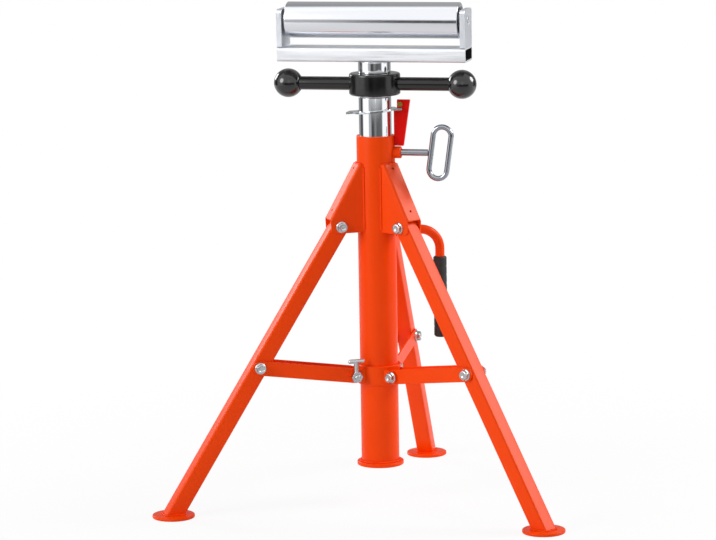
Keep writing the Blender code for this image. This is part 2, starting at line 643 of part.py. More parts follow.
def clamp_screw():
    screw_axis = empty("clamp_axis", (0, 0, CLAMP_Z), parent=AXIS)
    sleeve = ring(CLAMP_R + RUN, BOSS_R, INSIDE_COLUMN, BOSS_END, MEDIUM, CLAMP_EDGE)
    boss = piece("clamp_boss", turned_to(sleeve, (1, 0, 0)), ORANGE, screw_axis)
    reshape(boss, rod(COLUMN_R + SEAT, -COLUMN_R, COLUMN_R, FINE))
    across = LOOP_WIDE / 2 - LOOP_ROD_R
    centre = CLAMP_END + (across + LOOP_ROD_R) / cos(LOOP_LEAN)
    end = CLAMP_END - (CLAMP_R - CLAMP_EDGE) * tan(LOOP_LEAN) - SEAT
    shaft = turned_to(rod(CLAMP_R, MAST_R + SEAT, end, MEDIUM, CLAMP_EDGE), (1, 0, 0))
    piece("clamp_screw", shaft, ZINC, screw_axis)
    curve = bpy.data.curves.new("clamp_handle", "CURVE")
    curve.dimensions = "3D"
    curve.bevel_depth = LOOP_ROD_R
    curve.bevel_resolution = ROD_ROUNDING
    rise = LOOP_LONG / 2 - LOOP_WIDE / 2
    path = arc((0, rise), across, 0, 180, BEND_STEPS) + arc((0, -rise), across, 180, 360, BEND_STEPS)
    spline = curve.splines.new("POLY")
    spline.points.add(len(path) - 1)
    for point, (x, z) in zip(spline.points, path):
        point.co = (x, 0, z, 1)
    spline.use_cyclic_u = True
    curve.materials.append(ZINC)
    loop = bpy.data.objects.new("clamp_handle", curve)
    bpy.context.collection.objects.link(loop)
    loop.parent = screw_axis
    loop.location = (centre, 0, 0)
    loop.rotation_euler = (0, LOOP_LEAN, 0)


def mast_lock():
    """Forked plate round the mast, tilted on a step of its bracket."""
    inner_x = COLUMN_R + SEAT
    outline = [(inner_x, LOCK_BRACKET_LOW), (inner_x + LOCK_WIDE_LOW, LOCK_BRACKET_LOW),
               (inner_x + LOCK_WIDE_TOP, LOCK_BRACKET_TOP), (inner_x + LOCK_STEP, LOCK_BRACKET_TOP),
               (inner_x + LOCK_STEP, LOCK_STEP_Z), (inner_x, LOCK_STEP_Z)]
    half = LOCK_BRACKET_T / 2
    made = piece("lock_bracket", side_plate(outline, -half, half), RED, AXIS)
    pin_x, pin_z = inner_x + PIN_OUT, LOCK_STEP_Z + PIN_UP
    reshape(made, pin_cutter(PIN_R + SEAT, LOCK_BRACKET_T * 2, (pin_x, 0, pin_z)))
    wide = half + SEAT
    head = wide + PIN_HEAD_T
    pin = turned([(0, -head), (PIN_HEAD_R, -head), (PIN_HEAD_R, -wide), (PIN_R, -wide), (PIN_R, wide),
                  (PIN_HEAD_R, wide), (PIN_HEAD_R, head), (0, head)], COARSE)
    piece("lock_pin", turned_to(pin, (0, 1, 0)), BRASS, AXIS, (pin_x, 0, pin_z))
    tail, rest = LOCK_PIVOT
    pivot = empty("lock_plate_axis", (tail, 0, rest), (0, -LOCK_TILT, 0), AXIS)
    hole = MAST_R + LOCK_HOLE_SPARE
    rim = hole + LOCK_RIM
    tab = LOCK_TAB_W / 2
    left = -LOCK_TAB_END - tail
    spread = degrees(asin(tab / rim))
    centre = -tail
    edge = [(left, tab), (left, -tab)] + arc((centre, 0), rim, 180 + spread, 360 - spread, BEND_STEPS)
    edge += [(LOCK_TAIL, -tab), (LOCK_TAIL, tab)]
    edge += arc((centre, 0), rim, spread, 180 - spread, BEND_STEPS)
    bm = bmesh.new()
    face = bm.faces.new([bm.verts.new((x, y, 0)) for x, y in edge])
    grown = bmesh.ops.extrude_face_region(bm, geom=[face])["geom"]
    moved = [g for g in grown if isinstance(g, bmesh.types.BMVert)]
    bmesh.ops.translate(bm, verts=moved, vec=(0, 0, LOCK_T))
    plate = piece("lock_plate", bm, ZINC, pivot)
    bore = rod(hole, -LOCK_T * 2, LOCK_T * 3, FINE)
    bore.transform(Matrix.Translation((centre, 0, 0)))
    reshape(plate, bore)
    slot_start = LOCK_STEP / 2 - 2 * SEAT
    reshape(plate, block((slot_start, -half - SEAT, -LOCK_T), (rim, half + SEAT, 2 * LOCK_T)))


def carrying_handle():
    station = empty("carry_handle_axis", rotation=(0, 0, radians(HANDLE_ANGLE)), parent=AXIS)
    bend_centre = (HANDLE_OUT - HANDLE_BEND, HANDLE_Z - HANDLE_BEND)
    path = [(INSIDE_COLUMN, HANDLE_Z)]
    path += arc(bend_centre, HANDLE_BEND, 90, 0, BEND_STEPS)
    path.append((HANDLE_OUT, GRIP_TOP - GRIP_L + GRIP_END + SEAT))
    curve = bpy.data.curves.new("carry_handle_path", "CURVE")
    curve.dimensions = "3D"
    curve.bevel_depth = HANDLE_R
    curve.bevel_resolution = ROD_ROUNDING
    curve.use_fill_caps = True
    spline = curve.splines.new("POLY")
    spline.points.add(len(path) - 1)
    for point, (x, z) in zip(spline.points, path):
        point.co = (x, 0, z, 1)
    shaped = bpy.data.objects.new("carry_handle_path", curve)
    bpy.context.collection.objects.link(shaped)
    bpy.context.view_layer.update()
    bm = bmesh.new()
    bm.from_mesh(shaped.to_mesh())
    bpy.data.objects.remove(shaped, do_unlink=True)
    tube = piece("carry_handle", bm, ORANGE, station)
    reshape(tube, rod(COLUMN_R + SEAT, HANDLE_Z - 3 * HANDLE_R, HANDLE_Z + 3 * HANDLE_R, FINE))
    bore = HANDLE_R + SEAT
    low = GRIP_TOP - GRIP_L
    bore_low = low + GRIP_END
    profile = [(0, low), (GRIP_R - GRIP_EDGE, low), (GRIP_R, low + GRIP_EDGE), (GRIP_R, GRIP_TOP - GRIP_EDGE),
               (GRIP_R - GRIP_EDGE, GRIP_TOP), (bore, GRIP_TOP), (bore, bore_low), (0, bore_low)]
    piece("carry_grip", turned(profile, MEDIUM), BLACK, station, (HANDLE_OUT, 0, 0))


column_and_flange()
for side, angle in LEG_ANGLES.items():
    station = empty(f"{side}_station", rotation=(0, 0, radians(angle)), parent=AXIS)
    bracket(side, station)
    leg(side, station)
    brace(side, station)
collar()
mast_and_jack()
roller_head()
clamp_screw()
mast_lock()
carrying_handle()
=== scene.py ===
# Folding roller stand for pipe work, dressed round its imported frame.
# Sizes are in metres; a section's own sizes are written in millimetres times MM.

from math import acos, asin, atan2, ceil, cos, pi, radians, sin, sqrt, tan

import bmesh
import bpy
from mathutils import Matrix, Vector, noise


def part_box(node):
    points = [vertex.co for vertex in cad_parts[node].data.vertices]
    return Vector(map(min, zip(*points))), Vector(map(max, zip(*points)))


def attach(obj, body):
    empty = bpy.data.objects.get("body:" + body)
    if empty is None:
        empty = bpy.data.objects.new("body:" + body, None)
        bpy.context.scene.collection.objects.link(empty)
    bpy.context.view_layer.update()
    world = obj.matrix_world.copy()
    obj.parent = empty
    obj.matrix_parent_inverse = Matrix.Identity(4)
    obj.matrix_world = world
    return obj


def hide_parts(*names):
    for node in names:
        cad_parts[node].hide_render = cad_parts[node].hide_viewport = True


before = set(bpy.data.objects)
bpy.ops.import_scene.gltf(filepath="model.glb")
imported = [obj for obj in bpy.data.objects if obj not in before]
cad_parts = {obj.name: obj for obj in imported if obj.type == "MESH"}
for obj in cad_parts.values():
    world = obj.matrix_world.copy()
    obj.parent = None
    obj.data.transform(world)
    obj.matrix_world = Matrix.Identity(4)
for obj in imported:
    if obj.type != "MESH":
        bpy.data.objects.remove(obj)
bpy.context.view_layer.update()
MM = 0.001

# The stand's own upright axis, read from its column, and the camera that looks at it.
# Turn, tilt, roll and lens were fitted to the feet, the leg pivots and the roller head.
column_low, column_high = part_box("column_tube")
UPRIGHT = Vector(((column_low.x + column_high.x) / 2, (column_low.y + column_high.y) / 2, 0))
PHOTO_WIDTH = 716
FOCAL_PIXELS = 3346
AZIMUTH, ELEVATION, ROLL = radians(13.66), radians(9.37), radians(-0.96)
DISTANCE = 5.0
AIM_SIDE, AIM_HEIGHT = -29.3 * MM, 352.2 * MM
level_right = Vector((cos(AZIMUTH), sin(AZIMUTH), 0))
backward = Vector((sin(AZIMUTH) * cos(ELEVATION), -cos(AZIMUTH) * cos(ELEVATION), sin(ELEVATION)))
upward = backward.cross(level_right)
image_right = level_right * cos(ROLL) + upward * sin(ROLL)
image_up = upward * cos(ROLL) - level_right * sin(ROLL)
aim = UPRIGHT + level_right * AIM_SIDE + Vector((0, 0, AIM_HEIGHT))
camera = bpy.data.objects.new("camera", bpy.data.cameras.new("camera"))
bpy.context.scene.collection.objects.link(camera)
camera.data.lens = FOCAL_PIXELS / PHOTO_WIDTH * camera.data.sensor_width
stand_off = Matrix.Translation(aim + backward * DISTANCE)
camera.matrix_world = stand_off @ Matrix((image_right, image_up, backward)).transposed().to_4x4()
bpy.context.scene.camera = camera
bpy.context.scene.view_settings.view_transform = "Standard"


# A white product studio: plain floor, white surround, and soft lamps at both sides.
# Bright metal sees a tall soft light on each side, one overhead, and a dim room between them.
def add(tree, kind, inputs=None, **settings):
    made = tree.nodes.new(kind)
    for key, value in settings.items():
        setattr(made, key, value)
    for key, value in (inputs or {}).items():
        if isinstance(value, bpy.types.NodeSocket):
            tree.links.new(value, made.inputs[key])
        else:
            made.inputs[key].default_value = value
    return made


AMBIENT = 0.34
world = bpy.data.worlds.new("studio")
bpy.context.scene.world = world
world.use_nodes = True
tree = world.node_tree
tree.nodes.clear()
direction = add(tree, "ShaderNodeTexCoord").outputs["Generated"]
toward_camera, to_right = (sin(AZIMUTH), -cos(AZIMUTH), 0), (cos(AZIMUTH), sin(AZIMUTH), 0)
facing = add(tree, "ShaderNodeVectorMath", {0: direction, 1: toward_camera}, operation="DOT_PRODUCT")
sideways = add(tree, "ShaderNodeVectorMath", {0: direction, 1: to_right}, operation="DOT_PRODUCT")
bearing = add(tree, "ShaderNodeMath", {0: sideways.outputs["Value"], 1: facing.outputs["Value"]},
              operation="ARCTAN2")
share = add(tree, "ShaderNodeMapRange", {"Value": bearing.outputs[0], "From Min": -pi, "From Max": pi})
ramp = add(tree, "ShaderNodeValToRGB", {"Fac": share.outputs["Result"]})

# Walls and soft boxes, each a bearing in degrees from the camera's side, left negative, and a grey.
BANDS = ((-180, 0.45), (-130, 0.30), (-116, 0.07), (-102, 0.07), (-90, 1.3), (-50, 1.3), (-44, 0.50),
         (-33, 0.50), (-23, 0.05), (-13, 0.08), (0, 0.28), (12, 0.12), (46, 0.16), (55, 1.2), (92, 1.2),
         (106, 0.20), (122, 0.18), (150, 0.45), (180, 0.45))
while len(ramp.color_ramp.elements) < len(BANDS):
    ramp.color_ramp.elements.new(0.5)
for element, (angle, grey) in zip(ramp.color_ramp.elements, BANDS):
    element.position = angle / 360 + 0.5
    element.color = (grey, grey, grey, 1)
height = add(tree, "ShaderNodeSeparateXYZ", {"Vector": direction})
over = add(tree, "ShaderNodeMapRange", {"Value": height.outputs["Z"], "From Min": 0.04, "From Max": 0.12,
                                        "To Max": 1.2})
ahead = add(tree, "ShaderNodeMapRange", {"Value": facing.outputs["Value"], "From Min": -0.35,
                                         "From Max": -0.1})
overhead = add(tree, "ShaderNodeMath", {0: over.outputs["Result"], 1: ahead.outputs["Result"]},
               operation="MULTIPLY")
seen = add(tree, "ShaderNodeMath", {0: ramp.outputs["Color"], 1: overhead.outputs[0]}, operation="MAXIMUM")
rays = add(tree, "ShaderNodeLightPath")
for_metal = add(tree, "ShaderNodeMix", {"Factor": rays.outputs["Is Glossy Ray"], "A": AMBIENT,
                                        "B": seen.outputs[0]})
for_eye = add(tree, "ShaderNodeMix", {"Factor": rays.outputs["Is Camera Ray"],
                                      "A": for_metal.outputs["Result"], "B": 1.0})
surround = add(tree, "ShaderNodeBackground", {"Color": for_eye.outputs["Result"], "Strength": 1.0})
add(tree, "ShaderNodeOutputWorld", {"Surface": surround.outputs[0]})

LAMPS = (("key_lamp", (-2.8, -2.8, 2.0), 2.2, 88), ("side_lamp", (2.7, 1.0, 2.0), 1.6, 76),
         ("far_side_lamp", (-2.7, 1.7, 1.5), 1.3, 34), ("front_lamp", (1.2, -4.2, 1.9), 2.0, 4))
for name, place, size, power in LAMPS:
    lamp = bpy.data.objects.new(name, bpy.data.lights.new(name, "AREA"))
    bpy.context.scene.collection.objects.link(lamp)
    lamp.data.shape = "DISK"
    lamp.data.size = size
    lamp.data.energy = power
    lamp.location = place
    lamp.rotation_euler = (Vector((0, 0, 0.35)) - Vector(place)).to_track_quat("-Z", "Y").to_euler()

FLOOR_HALF = 3.0
bm = bmesh.new()
bmesh.ops.create_grid(bm, x_segments=2, y_segments=2, size=FLOOR_HALF)
floor_mesh = bpy.data.meshes.new("floor")
bm.to_mesh(floor_mesh)
bm.free()
studio_floor = bpy.data.objects.new("studio_floor", floor_mesh)
studio_floor.location.z = -0.3 * MM
bpy.context.scene.collection.objects.link(studio_floor)
paper = bpy.data.materials.new("white_paper_floor")
paper.use_nodes = True
tree = paper.node_tree
tree.nodes.clear()
spot = add(tree, "ShaderNodeTexCoord").outputs["Object"]
reach = add(tree, "ShaderNodeVectorMath", {0: spot}, operation="LENGTH")
fade = add(tree, "ShaderNodeMapRange", {"Value": reach.outputs["Value"], "From Min": 0.4, "From Max": 1.0,
                                        "To Min": 0.90, "To Max": 1.0})
lit = add(tree, "ShaderNodeBsdfDiffuse", {"Color": (0.88, 0.88, 0.88, 1)})
white = add(tree, "ShaderNodeEmission", {"Color": (1, 1, 1, 1)})
eye = add(tree, "ShaderNodeLightPath").outputs["Is Camera Ray"]
amount = add(tree, "ShaderNodeMath", {0: fade.outputs["Result"], 1: eye}, operation="MULTIPLY")
blend = add(tree, "ShaderNodeMixShader", {0: amount.outputs[0], 1: lit.outputs[0], 2: white.outputs[0]})
add(tree, "ShaderNodeOutputMaterial", {"Surface": blend.outputs[0]})
floor_mesh.materials.append(paper)


# Powder coat: dry paint sprayed on, then baked to a thick glossy skin over every weld and edge.
# It shows a faint orange peel and soft reflections; the same coat, made darker and redder, is painted shade
# on the lock bracket.
def linear(hex_colour):
    """An sRGB hex colour as linear red, green, blue and alpha."""
    parts = [int(hex_colour[i:i + 2], 16) / 255 for i in (1, 3, 5)]
    return (*[c / 12.92 if c <= 0.04045 else ((c + 0.055) / 1.055) ** 2.4 for c in parts], 1)


def powder_coat(name, light, dark, peel=1.8 * MM, patch=45 * MM):
    material = bpy.data.materials.new(name)
    material.use_nodes = True
    tree = material.node_tree
    shader = tree.nodes["Principled BSDF"]
    shader.inputs["Specular IOR Level"].default_value = 0.10
    shader.inputs["Specular Tint"].default_value = linear("#FFC28A")
    shader.inputs["Coat Weight"].default_value = 0.18
    shader.inputs["Coat Roughness"].default_value = 0.34
    place = add(tree, "ShaderNodeTexCoord").outputs["Object"]
    cloud = add(tree, "ShaderNodeTexNoise", {"Vector": place, "Scale": 1 / patch, "Detail": 3.0})
    colour = add(tree, "ShaderNodeMix", {"Factor": cloud.outputs["Fac"]}, data_type="RGBA")
    colour.inputs["A"].default_value = linear(dark)
    colour.inputs["B"].default_value = linear(light)
    tree.links.new(colour.outputs[2], shader.inputs["Base Color"])
    skin = add(tree, "ShaderNodeTexNoise", {"Vector": place, "Scale": 1 / peel, "Detail": 2.0})
    bumps = add(tree, "ShaderNodeBump", {"Height": skin.outputs["Fac"], "Strength": 0.14,
                                         "Distance": 0.25 * MM})
    tree.links.new(bumps.outputs["Normal"], shader.inputs["Normal"])
    rough = add(tree, "ShaderNodeMapRange", {"Value": cloud.outputs["Fac"], "To Min": 0.30, "To Max": 0.42})
    tree.links.new(rough.outputs["Result"], shader.inputs["Roughness"])
    return material


orange_coat = powder_coat("orange_powder_coat", "#FB4A02", "#F54301")


def wear(piece, body, slot, material, *replaced):
    """Give a piece its finish and its body, and hide the frame's nodes that it stands for."""
    piece.data.materials.clear()
    piece.data.materials.append(material)
    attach(piece, body)
    if replaced:
        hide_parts(*replaced)
    return piece


def made_of(name, bm, place=Matrix.Identity(4), sharp=35):
    """An object from a bmesh, moved to its place, with smooth faces and crisp edges."""
    bmesh.ops.recalc_face_normals(bm, faces=bm.faces)
    mesh = bpy.data.meshes.new(name)
    bm.to_mesh(mesh)
    bm.free()
    mesh.transform(place)
    mesh.shade_smooth()
    mesh.set_sharp_from_angle(angle=radians(sharp))
    piece = bpy.data.objects.new(name, mesh)
    bpy.context.scene.collection.objects.link(piece)
    return piece


def filleted(corners, radius, steps=4):
    """Round the corners of a closed outline; a corner's third number is its own radius."""
    points = []
    for i, corner in enumerate(corners):
        here = Vector(corner[:2])
        size = corner[2] if len(corner) > 2 else radius
        one = (Vector(corners[i - 1][:2]) - here).normalized()
        other = (Vector(corners[(i + 1) % len(corners)][:2]) - here).normalized()
        if not size:
            points.append(tuple(here))
            continue
        half = one.angle(other) / 2
        centre = here + (one + other).normalized() * size / sin(half)
        start, end = here + one * size / tan(half) - centre, here + other * size / tan(half) - centre
        first = atan2(start.y, start.x)
        swing = (atan2(end.y, end.x) - first + pi) % (2 * pi) - pi
        for k in range(steps + 1):
            turn = first + swing * k / steps
            points.append((centre.x + size * cos(turn), centre.y + size * sin(turn)))
    return points


def lathe(outline, steps=96):
    """Turn a closed (radius, height) outline about Z."""
    bm = bmesh.new()
    points = [bm.verts.new((r, 0, z)) for r, z in outline]
    lines = [bm.edges.new(pair) for pair in zip(points, points[1:] + points[:1])
             if pair[0].co.x > 1e-7 or pair[1].co.x > 1e-7]
    bmesh.ops.spin(bm, geom=points + lines, axis=(0, 0, 1), angle=2 * pi, steps=steps, use_merge=True)
    bmesh.ops.remove_doubles(bm, verts=bm.verts, dist=1e-6)
    return bm


def turned_ring(inner, outer, low, high, edge, steps=96, bore_edge=None):
    """A ring or tube about Z with round edges; those of its bore may have their own radius."""
    lip = edge if bore_edge is None else bore_edge
    return lathe(filleted([(inner, low, lip), (outer, low), (outer, high), (inner, high, lip)], edge), steps)


# Column: welded steel tube, cut square and powder coated, with its top lip eased by hand.
# The mast slides in its bore, and everything else hangs on its outside.
at_upright = Matrix.Translation(UPRIGHT)
COLUMN_R = (column_high.x - column_low.x) / 2
COLUMN_BORE = 24.5 * MM
COLUMN_LIP = 1.1 * MM
column_bm = turned_ring(COLUMN_BORE, COLUMN_R, column_low.z, column_high.z, COLUMN_LIP, 128)
column = made_of("orange_column", column_bm, at_upright)
wear(column, "stand", "orange_paint", orange_coat, "column_tube")


# Base flange: a laser-cut steel disc with a drain hole, welded under the column.
# The weld is a rippled bead, laid all round and painted over.
def skin_over(bm, rings, closed=False):
    """Faces from each ring of points to the next, capped at both ends unless the rings close up."""
    for a, b in zip(rings, rings[1:] + (rings[:1] if closed else [])):
        for i in range(len(a)):
            j = (i + 1) % len(a)
            bm.faces.new((a[i], a[j], b[j], b[i]))
    if not closed:
        bm.faces.new(rings[0])
        bm.faces.new(rings[-1])


def around(radius, k, sides):
    """Point k of a circle that is cut into so many sides."""
    return radius * cos(2 * pi * k / sides), radius * sin(2 * pi * k / sides)


def weld_bead(name, path, radius, closed=False, ripple=2.2 * MM, sides=8):
    """A bead of weld along a path, swelling once for each step of the torch."""
    bm = bmesh.new()
    rings, walked = [], 0.0
    count = len(path)
    for i, point in enumerate(path):
        ahead_point = path[(i + 1) % count] if closed or i + 1 < count else point
        behind_point = path[i - 1] if closed or i else point
        along = (ahead_point - behind_point).normalized()
        side = along.cross(Vector((0.31, 0.17, 0.93))).normalized()
        rise = along.cross(side)
        walked += (point - behind_point).length if i else 0
        swell = radius * (1 + 0.16 * sin(2 * pi * walked / ripple) + 0.10 * noise.noise(point * 400))
        if not closed:
            swell *= min(1, sqrt(min(i, count - 1 - i) / 3 + 0.08))
        rings.append([bm.verts.new(point + side * swell * cos(2 * pi * k / sides)
                                   + rise * swell * sin(2 * pi * k / sides)) for k in range(sides)])
    skin_over(bm, rings, closed)
    return made_of(name, bm, sharp=80)


flange_low, flange_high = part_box("base_flange")
FLANGE_R = (flange_high.x - flange_low.x) / 2
DRAIN_R = 10 * MM
FLANGE_EDGE = 1.4 * MM
flange_bm = turned_ring(DRAIN_R, FLANGE_R, flange_low.z, flange_high.z, FLANGE_EDGE)
flange = made_of("orange_base_flange", flange_bm, at_upright)
wear(flange, "stand", "orange_paint", orange_coat, "base_flange")
BEAD_R = 1.7 * MM
BEAD_STEP = 0.55 * MM
turns = ceil(2 * pi * COLUMN_R / BEAD_STEP)
path = [UPRIGHT + Vector((*around(COLUMN_R + 0.4 * BEAD_R, i, turns), flange_high.z + 0.5 * BEAD_R))
        for i in range(turns)]
wear(weld_bead("flange_weld", path, BEAD_R, closed=True), "stand", "orange_paint", orange_coat)


# Leg brackets: each is one laser-cut sheet folded to a channel, its web sloping out over the leg.
# Two small drain holes go through the web, and beads join both cheeks and the top to the column.
LEG_ANGLES = {"left": radians(210), "right": radians(330), "back": radians(90)}
SOFT_EDGE = 0.45 * MM


def soften(node, width=SOFT_EDGE, segments=2):
    """Ease the cut edges of one of the frame's own nodes."""
    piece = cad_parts[node]
    weld = piece.modifiers.new("weld", "WELD")
    weld.merge_threshold = 1e-5
    bevel = piece.modifiers.new("eased_edges", "BEVEL")
    bevel.width = width
    bevel.segments = segments
    bevel.limit_method = "ANGLE"
    bevel.angle_limit = radians(32)
    bevel.harden_normals = True
    return piece


def paint(node, slot, material, **eased):
    piece = soften(node, **eased)
    piece.data.materials.clear()
    piece.data.materials.append(material)
    return piece


CHEEK_HALF = 15.6 * MM
CHEEK_LOW, CHEEK_TOP = 412.5 * MM, 514 * MM
SEAM_R = 1.5 * MM
for side, angle in LEG_ANGLES.items():
    paint(f"{side}_bracket", "orange_paint", orange_coat)
    station = at_upright @ Matrix.Rotation(angle, 4, "Z")
    reach = sqrt(COLUMN_R ** 2 - CHEEK_HALF ** 2)
    for face, word in ((-1, "right"), (1, "left")):
        count = int((CHEEK_TOP - CHEEK_LOW - 4 * SEAM_R) / BEAD_STEP)
        path = [station @ Vector((reach + 0.2 * SEAM_R, face * (CHEEK_HALF + 0.35 * SEAM_R),
                                  CHEEK_LOW + 2 * SEAM_R + BEAD_STEP * i)) for i in range(count)]
        seam = weld_bead(f"{side}_bracket_{word}_weld", path, SEAM_R)
        wear(seam, "stand", "orange_paint", orange_coat)
    spread = asin(CHEEK_HALF / COLUMN_R) - 0.12
    count = int(2 * spread * COLUMN_R / BEAD_STEP)
    path = [station @ Vector(((COLUMN_R + 0.9 * SEAM_R) * cos(-spread + 2 * spread * i / count),
                              (COLUMN_R + 0.9 * SEAM_R) * sin(-spread + 2 * spread * i / count),
                              CHEEK_TOP + 0.1 * SEAM_R)) for i in range(count + 1)]
    wear(weld_bead(f"{side}_bracket_top_weld", path, SEAM_R), "stand", "orange_paint", orange_coat)


# Legs: cold-formed square steel tube, open at the head, cut level at the foot.
# The corners keep the rolled radius of the tube, and the paint runs inside both ends.
LEG_SIZE, LEG_WALL, LEG_CORNER = 25 * MM, 2 * MM, 3 * MM
LEG_HEAD, FOOT_EDGE = 9 * MM, 1.6 * MM
LEG_PIVOT_R, LEG_PIVOT_Z = 59 * MM, 422 * MM
FOOT_CIRCLE_R, FOOT_R, FOOT_T, FOOT_GAP = 322 * MM, 31.5 * MM, 5 * MM, 0.3 * MM
LEG_TILT = atan2(FOOT_CIRCLE_R - LEG_PIVOT_R, LEG_PIVOT_Z - FOOT_T)


def rounded_square(width, height, radius, steps=6):
    x, y = width / 2, height / 2
    return filleted([(-x, -y), (x, -y), (x, y), (-x, y)], radius, steps)


def sleeve(outer, inner, low, high):
    """A hollow bar along Z between two end heights given at each point."""
    bm = bmesh.new()
    rings = [[bm.verts.new((x, y, end(x, y))) for x, y in loop]
             for loop, end in ((outer, low), (outer, high), (inner, high), (inner, low))]
    skin_over(bm, rings, closed=True)
    return bm


def foot_end(x, y):
    return (FOOT_T + FOOT_GAP - LEG_PIVOT_Z - x * sin(LEG_TILT)) / cos(LEG_TILT)


for side, angle in LEG_ANGLES.items():
    station = at_upright @ Matrix.Rotation(angle, 4, "Z")
    hung = station @ Matrix.Translation((LEG_PIVOT_R, 0, LEG_PIVOT_Z)) @ Matrix.Rotation(-LEG_TILT, 4, "Y")
    tube = sleeve(rounded_square(LEG_SIZE, LEG_SIZE, LEG_CORNER),
                  rounded_square(LEG_SIZE - 2 * LEG_WALL, LEG_SIZE - 2 * LEG_WALL, LEG_CORNER - LEG_WALL),
                  foot_end, lambda x, y: LEG_HEAD)
    leg = made_of(f"{side}_square_leg", tube, hung, sharp=40)
    wear(leg, f"{side}_leg", "orange_paint", orange_coat, f"{side}_leg")

    # Foot: a pressed steel disc, welded flat under the leg.
    outline = filleted([(0, 0, 0), (FOOT_R, 0), (FOOT_R, FOOT_T), (0, FOOT_T, 0)], FOOT_EDGE)
    foot = made_of(f"{side}_disc_foot", lathe(outline), station @ Matrix.Translation((FOOT_CIRCLE_R, 0, 0)))
    wear(foot, f"{side}_leg", "orange_paint", orange_coat, f"{side}_foot")
    long = LEG_SIZE / cos(LEG_TILT)
    corners = rounded_square(long + 0.8 * SEAM_R, LEG_SIZE + 0.8 * SEAM_R, LEG_CORNER)
    path = []
    for (x0, y0), (x1, y1) in zip(corners, corners[1:] + corners[:1]):
        steps = max(1, round(sqrt((x1 - x0) ** 2 + (y1 - y0) ** 2) / BEAD_STEP))
        for k in range(steps):
            x, y = FOOT_CIRCLE_R + x0 + (x1 - x0) * k / steps, y0 + (y1 - y0) * k / steps
            path.append(station @ Vector((x, y, FOOT_T + 0.35 * SEAM_R)))
    seam = weld_bead(f"{side}_foot_weld", path, SEAM_R, closed=True)
    wear(seam, f"{side}_leg", "orange_paint", orange_coat)


# Braces and collar: channels folded from sheet, and a turned ring with three pairs of ears.
# Both are powder coated with the rest, so their edges are soft under the paint.
for side in LEG_ANGLES:
    paint(f"{side}_brace", "orange_paint", orange_coat)
paint("collar", "orange_paint", orange_coat)
paint("clamp_boss", "orange_paint", orange_coat)


# Bolts and nuts: cold-headed flange bolts, zinc plated, with a shallow dish in the head.
# The plate is bright and slightly milky, and rolls off softly at every edge.
def plated(name, colour, roughness, grain, depth, anisotropic=0.0, stretch=(1, 1, 1)):
    """Bright metal with the fine marks of its last working, stretched along the tool's path."""
    material = bpy.data.materials.new(name)
    material.use_nodes = True
    tree = material.node_tree
    shader = tree.nodes["Principled BSDF"]
    shader.inputs["Base Color"].default_value = linear(colour)
    shader.inputs["Metallic"].default_value = 1.0
    shader.inputs["Anisotropic"].default_value = anisotropic
    place = add(tree, "ShaderNodeTexCoord").outputs["Object"]
    drawn = add(tree, "ShaderNodeMapping", {"Vector": place, "Scale": stretch})
    marks = add(tree, "ShaderNodeTexNoise", {"Vector": drawn.outputs[0], "Scale": 1 / grain, "Detail": 4.0})
    rough = add(tree, "ShaderNodeMapRange", {"Value": marks.outputs["Fac"], "From Min": 0.3, "From Max": 0.7,
                                             "To Min": roughness * 0.75, "To Max": roughness * 1.3})
    tree.links.new(rough.outputs["Result"], shader.inputs["Roughness"])
    bumps = add(tree, "ShaderNodeBump", {"Height": marks.outputs["Fac"], "Strength": 0.2, "Distance": depth})
    tree.links.new(bumps.outputs["Normal"], shader.inputs["Normal"])
    return material


zinc_plate = plated("zinc_plated_steel", "#B9BBBD", 0.26, 1.6 * MM, 0.05 * MM)
BOLT_R, HEX_HALF, WASHER_R, WASHER_T, HEX_H, NUT_H = (4 * MM, 6.5 * MM, 8.5 * MM, 1.6 * MM, 5.5 * MM, 7 * MM)
JOINT_GAP, THREAD_SHOWN, THREAD_PITCH, THREAD_DEPTH = 0.3 * MM, 2.5 * MM, 1.25 * MM, 0.7 * MM
BRACE_OUT, EAR_OUT = 15.3 * MM, 18.4 * MM
FLANGE_SLOPE, HEX_FOOT, CHAMFER_LOW, CHAMFER_HIGH = 0.8 * MM, 0.3 * MM, 1.1 * MM, 0.3 * MM
CORNER_CUT, CROWN_CORNER, CROWN = 1.13, 1.02, 0.9
BORE_LIP, NUT_FIT, HEAD_OVERLAP, THREAD_LONG = 0.6 * MM, 0.15 * MM, 0.05 * MM, 18 * MM
DISH_R, DISH_DEPTH = 4.2 * MM, 1.3 * MM
DISH_CURVE = ((0, 1), (0.8, 0.72), (1, 0.4))


def hexagon(flat, corner_cut, turn):
    """Radius of a hexagon across flats at an angle, with its corners cut round."""
    folded = (turn + pi / 6) % (pi / 3) - pi / 6
    return min(flat / cos(folded), corner_cut)


def hex_head(flat, low, high, dish_r=0.0, dish=0.0, bore=0.0, sides=72):
    """Hex with chamfered corners, a flange under it, and a dished or bored top."""
    corner = flat * CORNER_CUT

    # Each row has a height and a round radius, or none and how far the hexagon's corners reach.
    rows = [(low, WASHER_R, 0), (low + WASHER_T / 2, WASHER_R, 0),
            (low + WASHER_T, WASHER_R - FLANGE_SLOPE, 0),
            (low + WASHER_T + HEX_FOOT, None, corner), (high - CHAMFER_LOW, None, corner),
            (high - CHAMFER_HIGH, None, flat * CROWN_CORNER), (high, flat * CROWN, 0)]
    if bore:
        rows += [(high, bore + BORE_LIP, 0), (high - BORE_LIP, bore, 0), (low, bore, 0)]
    elif dish:
        rows += [(high - dish * fall, dish_r * reach, 0) for fall, reach in DISH_CURVE]
    bm = bmesh.new()
    rings = []
    for z, size, cut in rows:
        radii = [size if size else hexagon(flat, cut, 2 * pi * k / sides) for k in range(sides)]
        rings.append([bm.verts.new((*around(radius, k, sides), z)) for k, radius in enumerate(radii)])
    skin_over(bm, rings, closed=bool(bore))
    return bm


TIP_TAPER, GROOVE_SLOPE = 0.8, 3.2


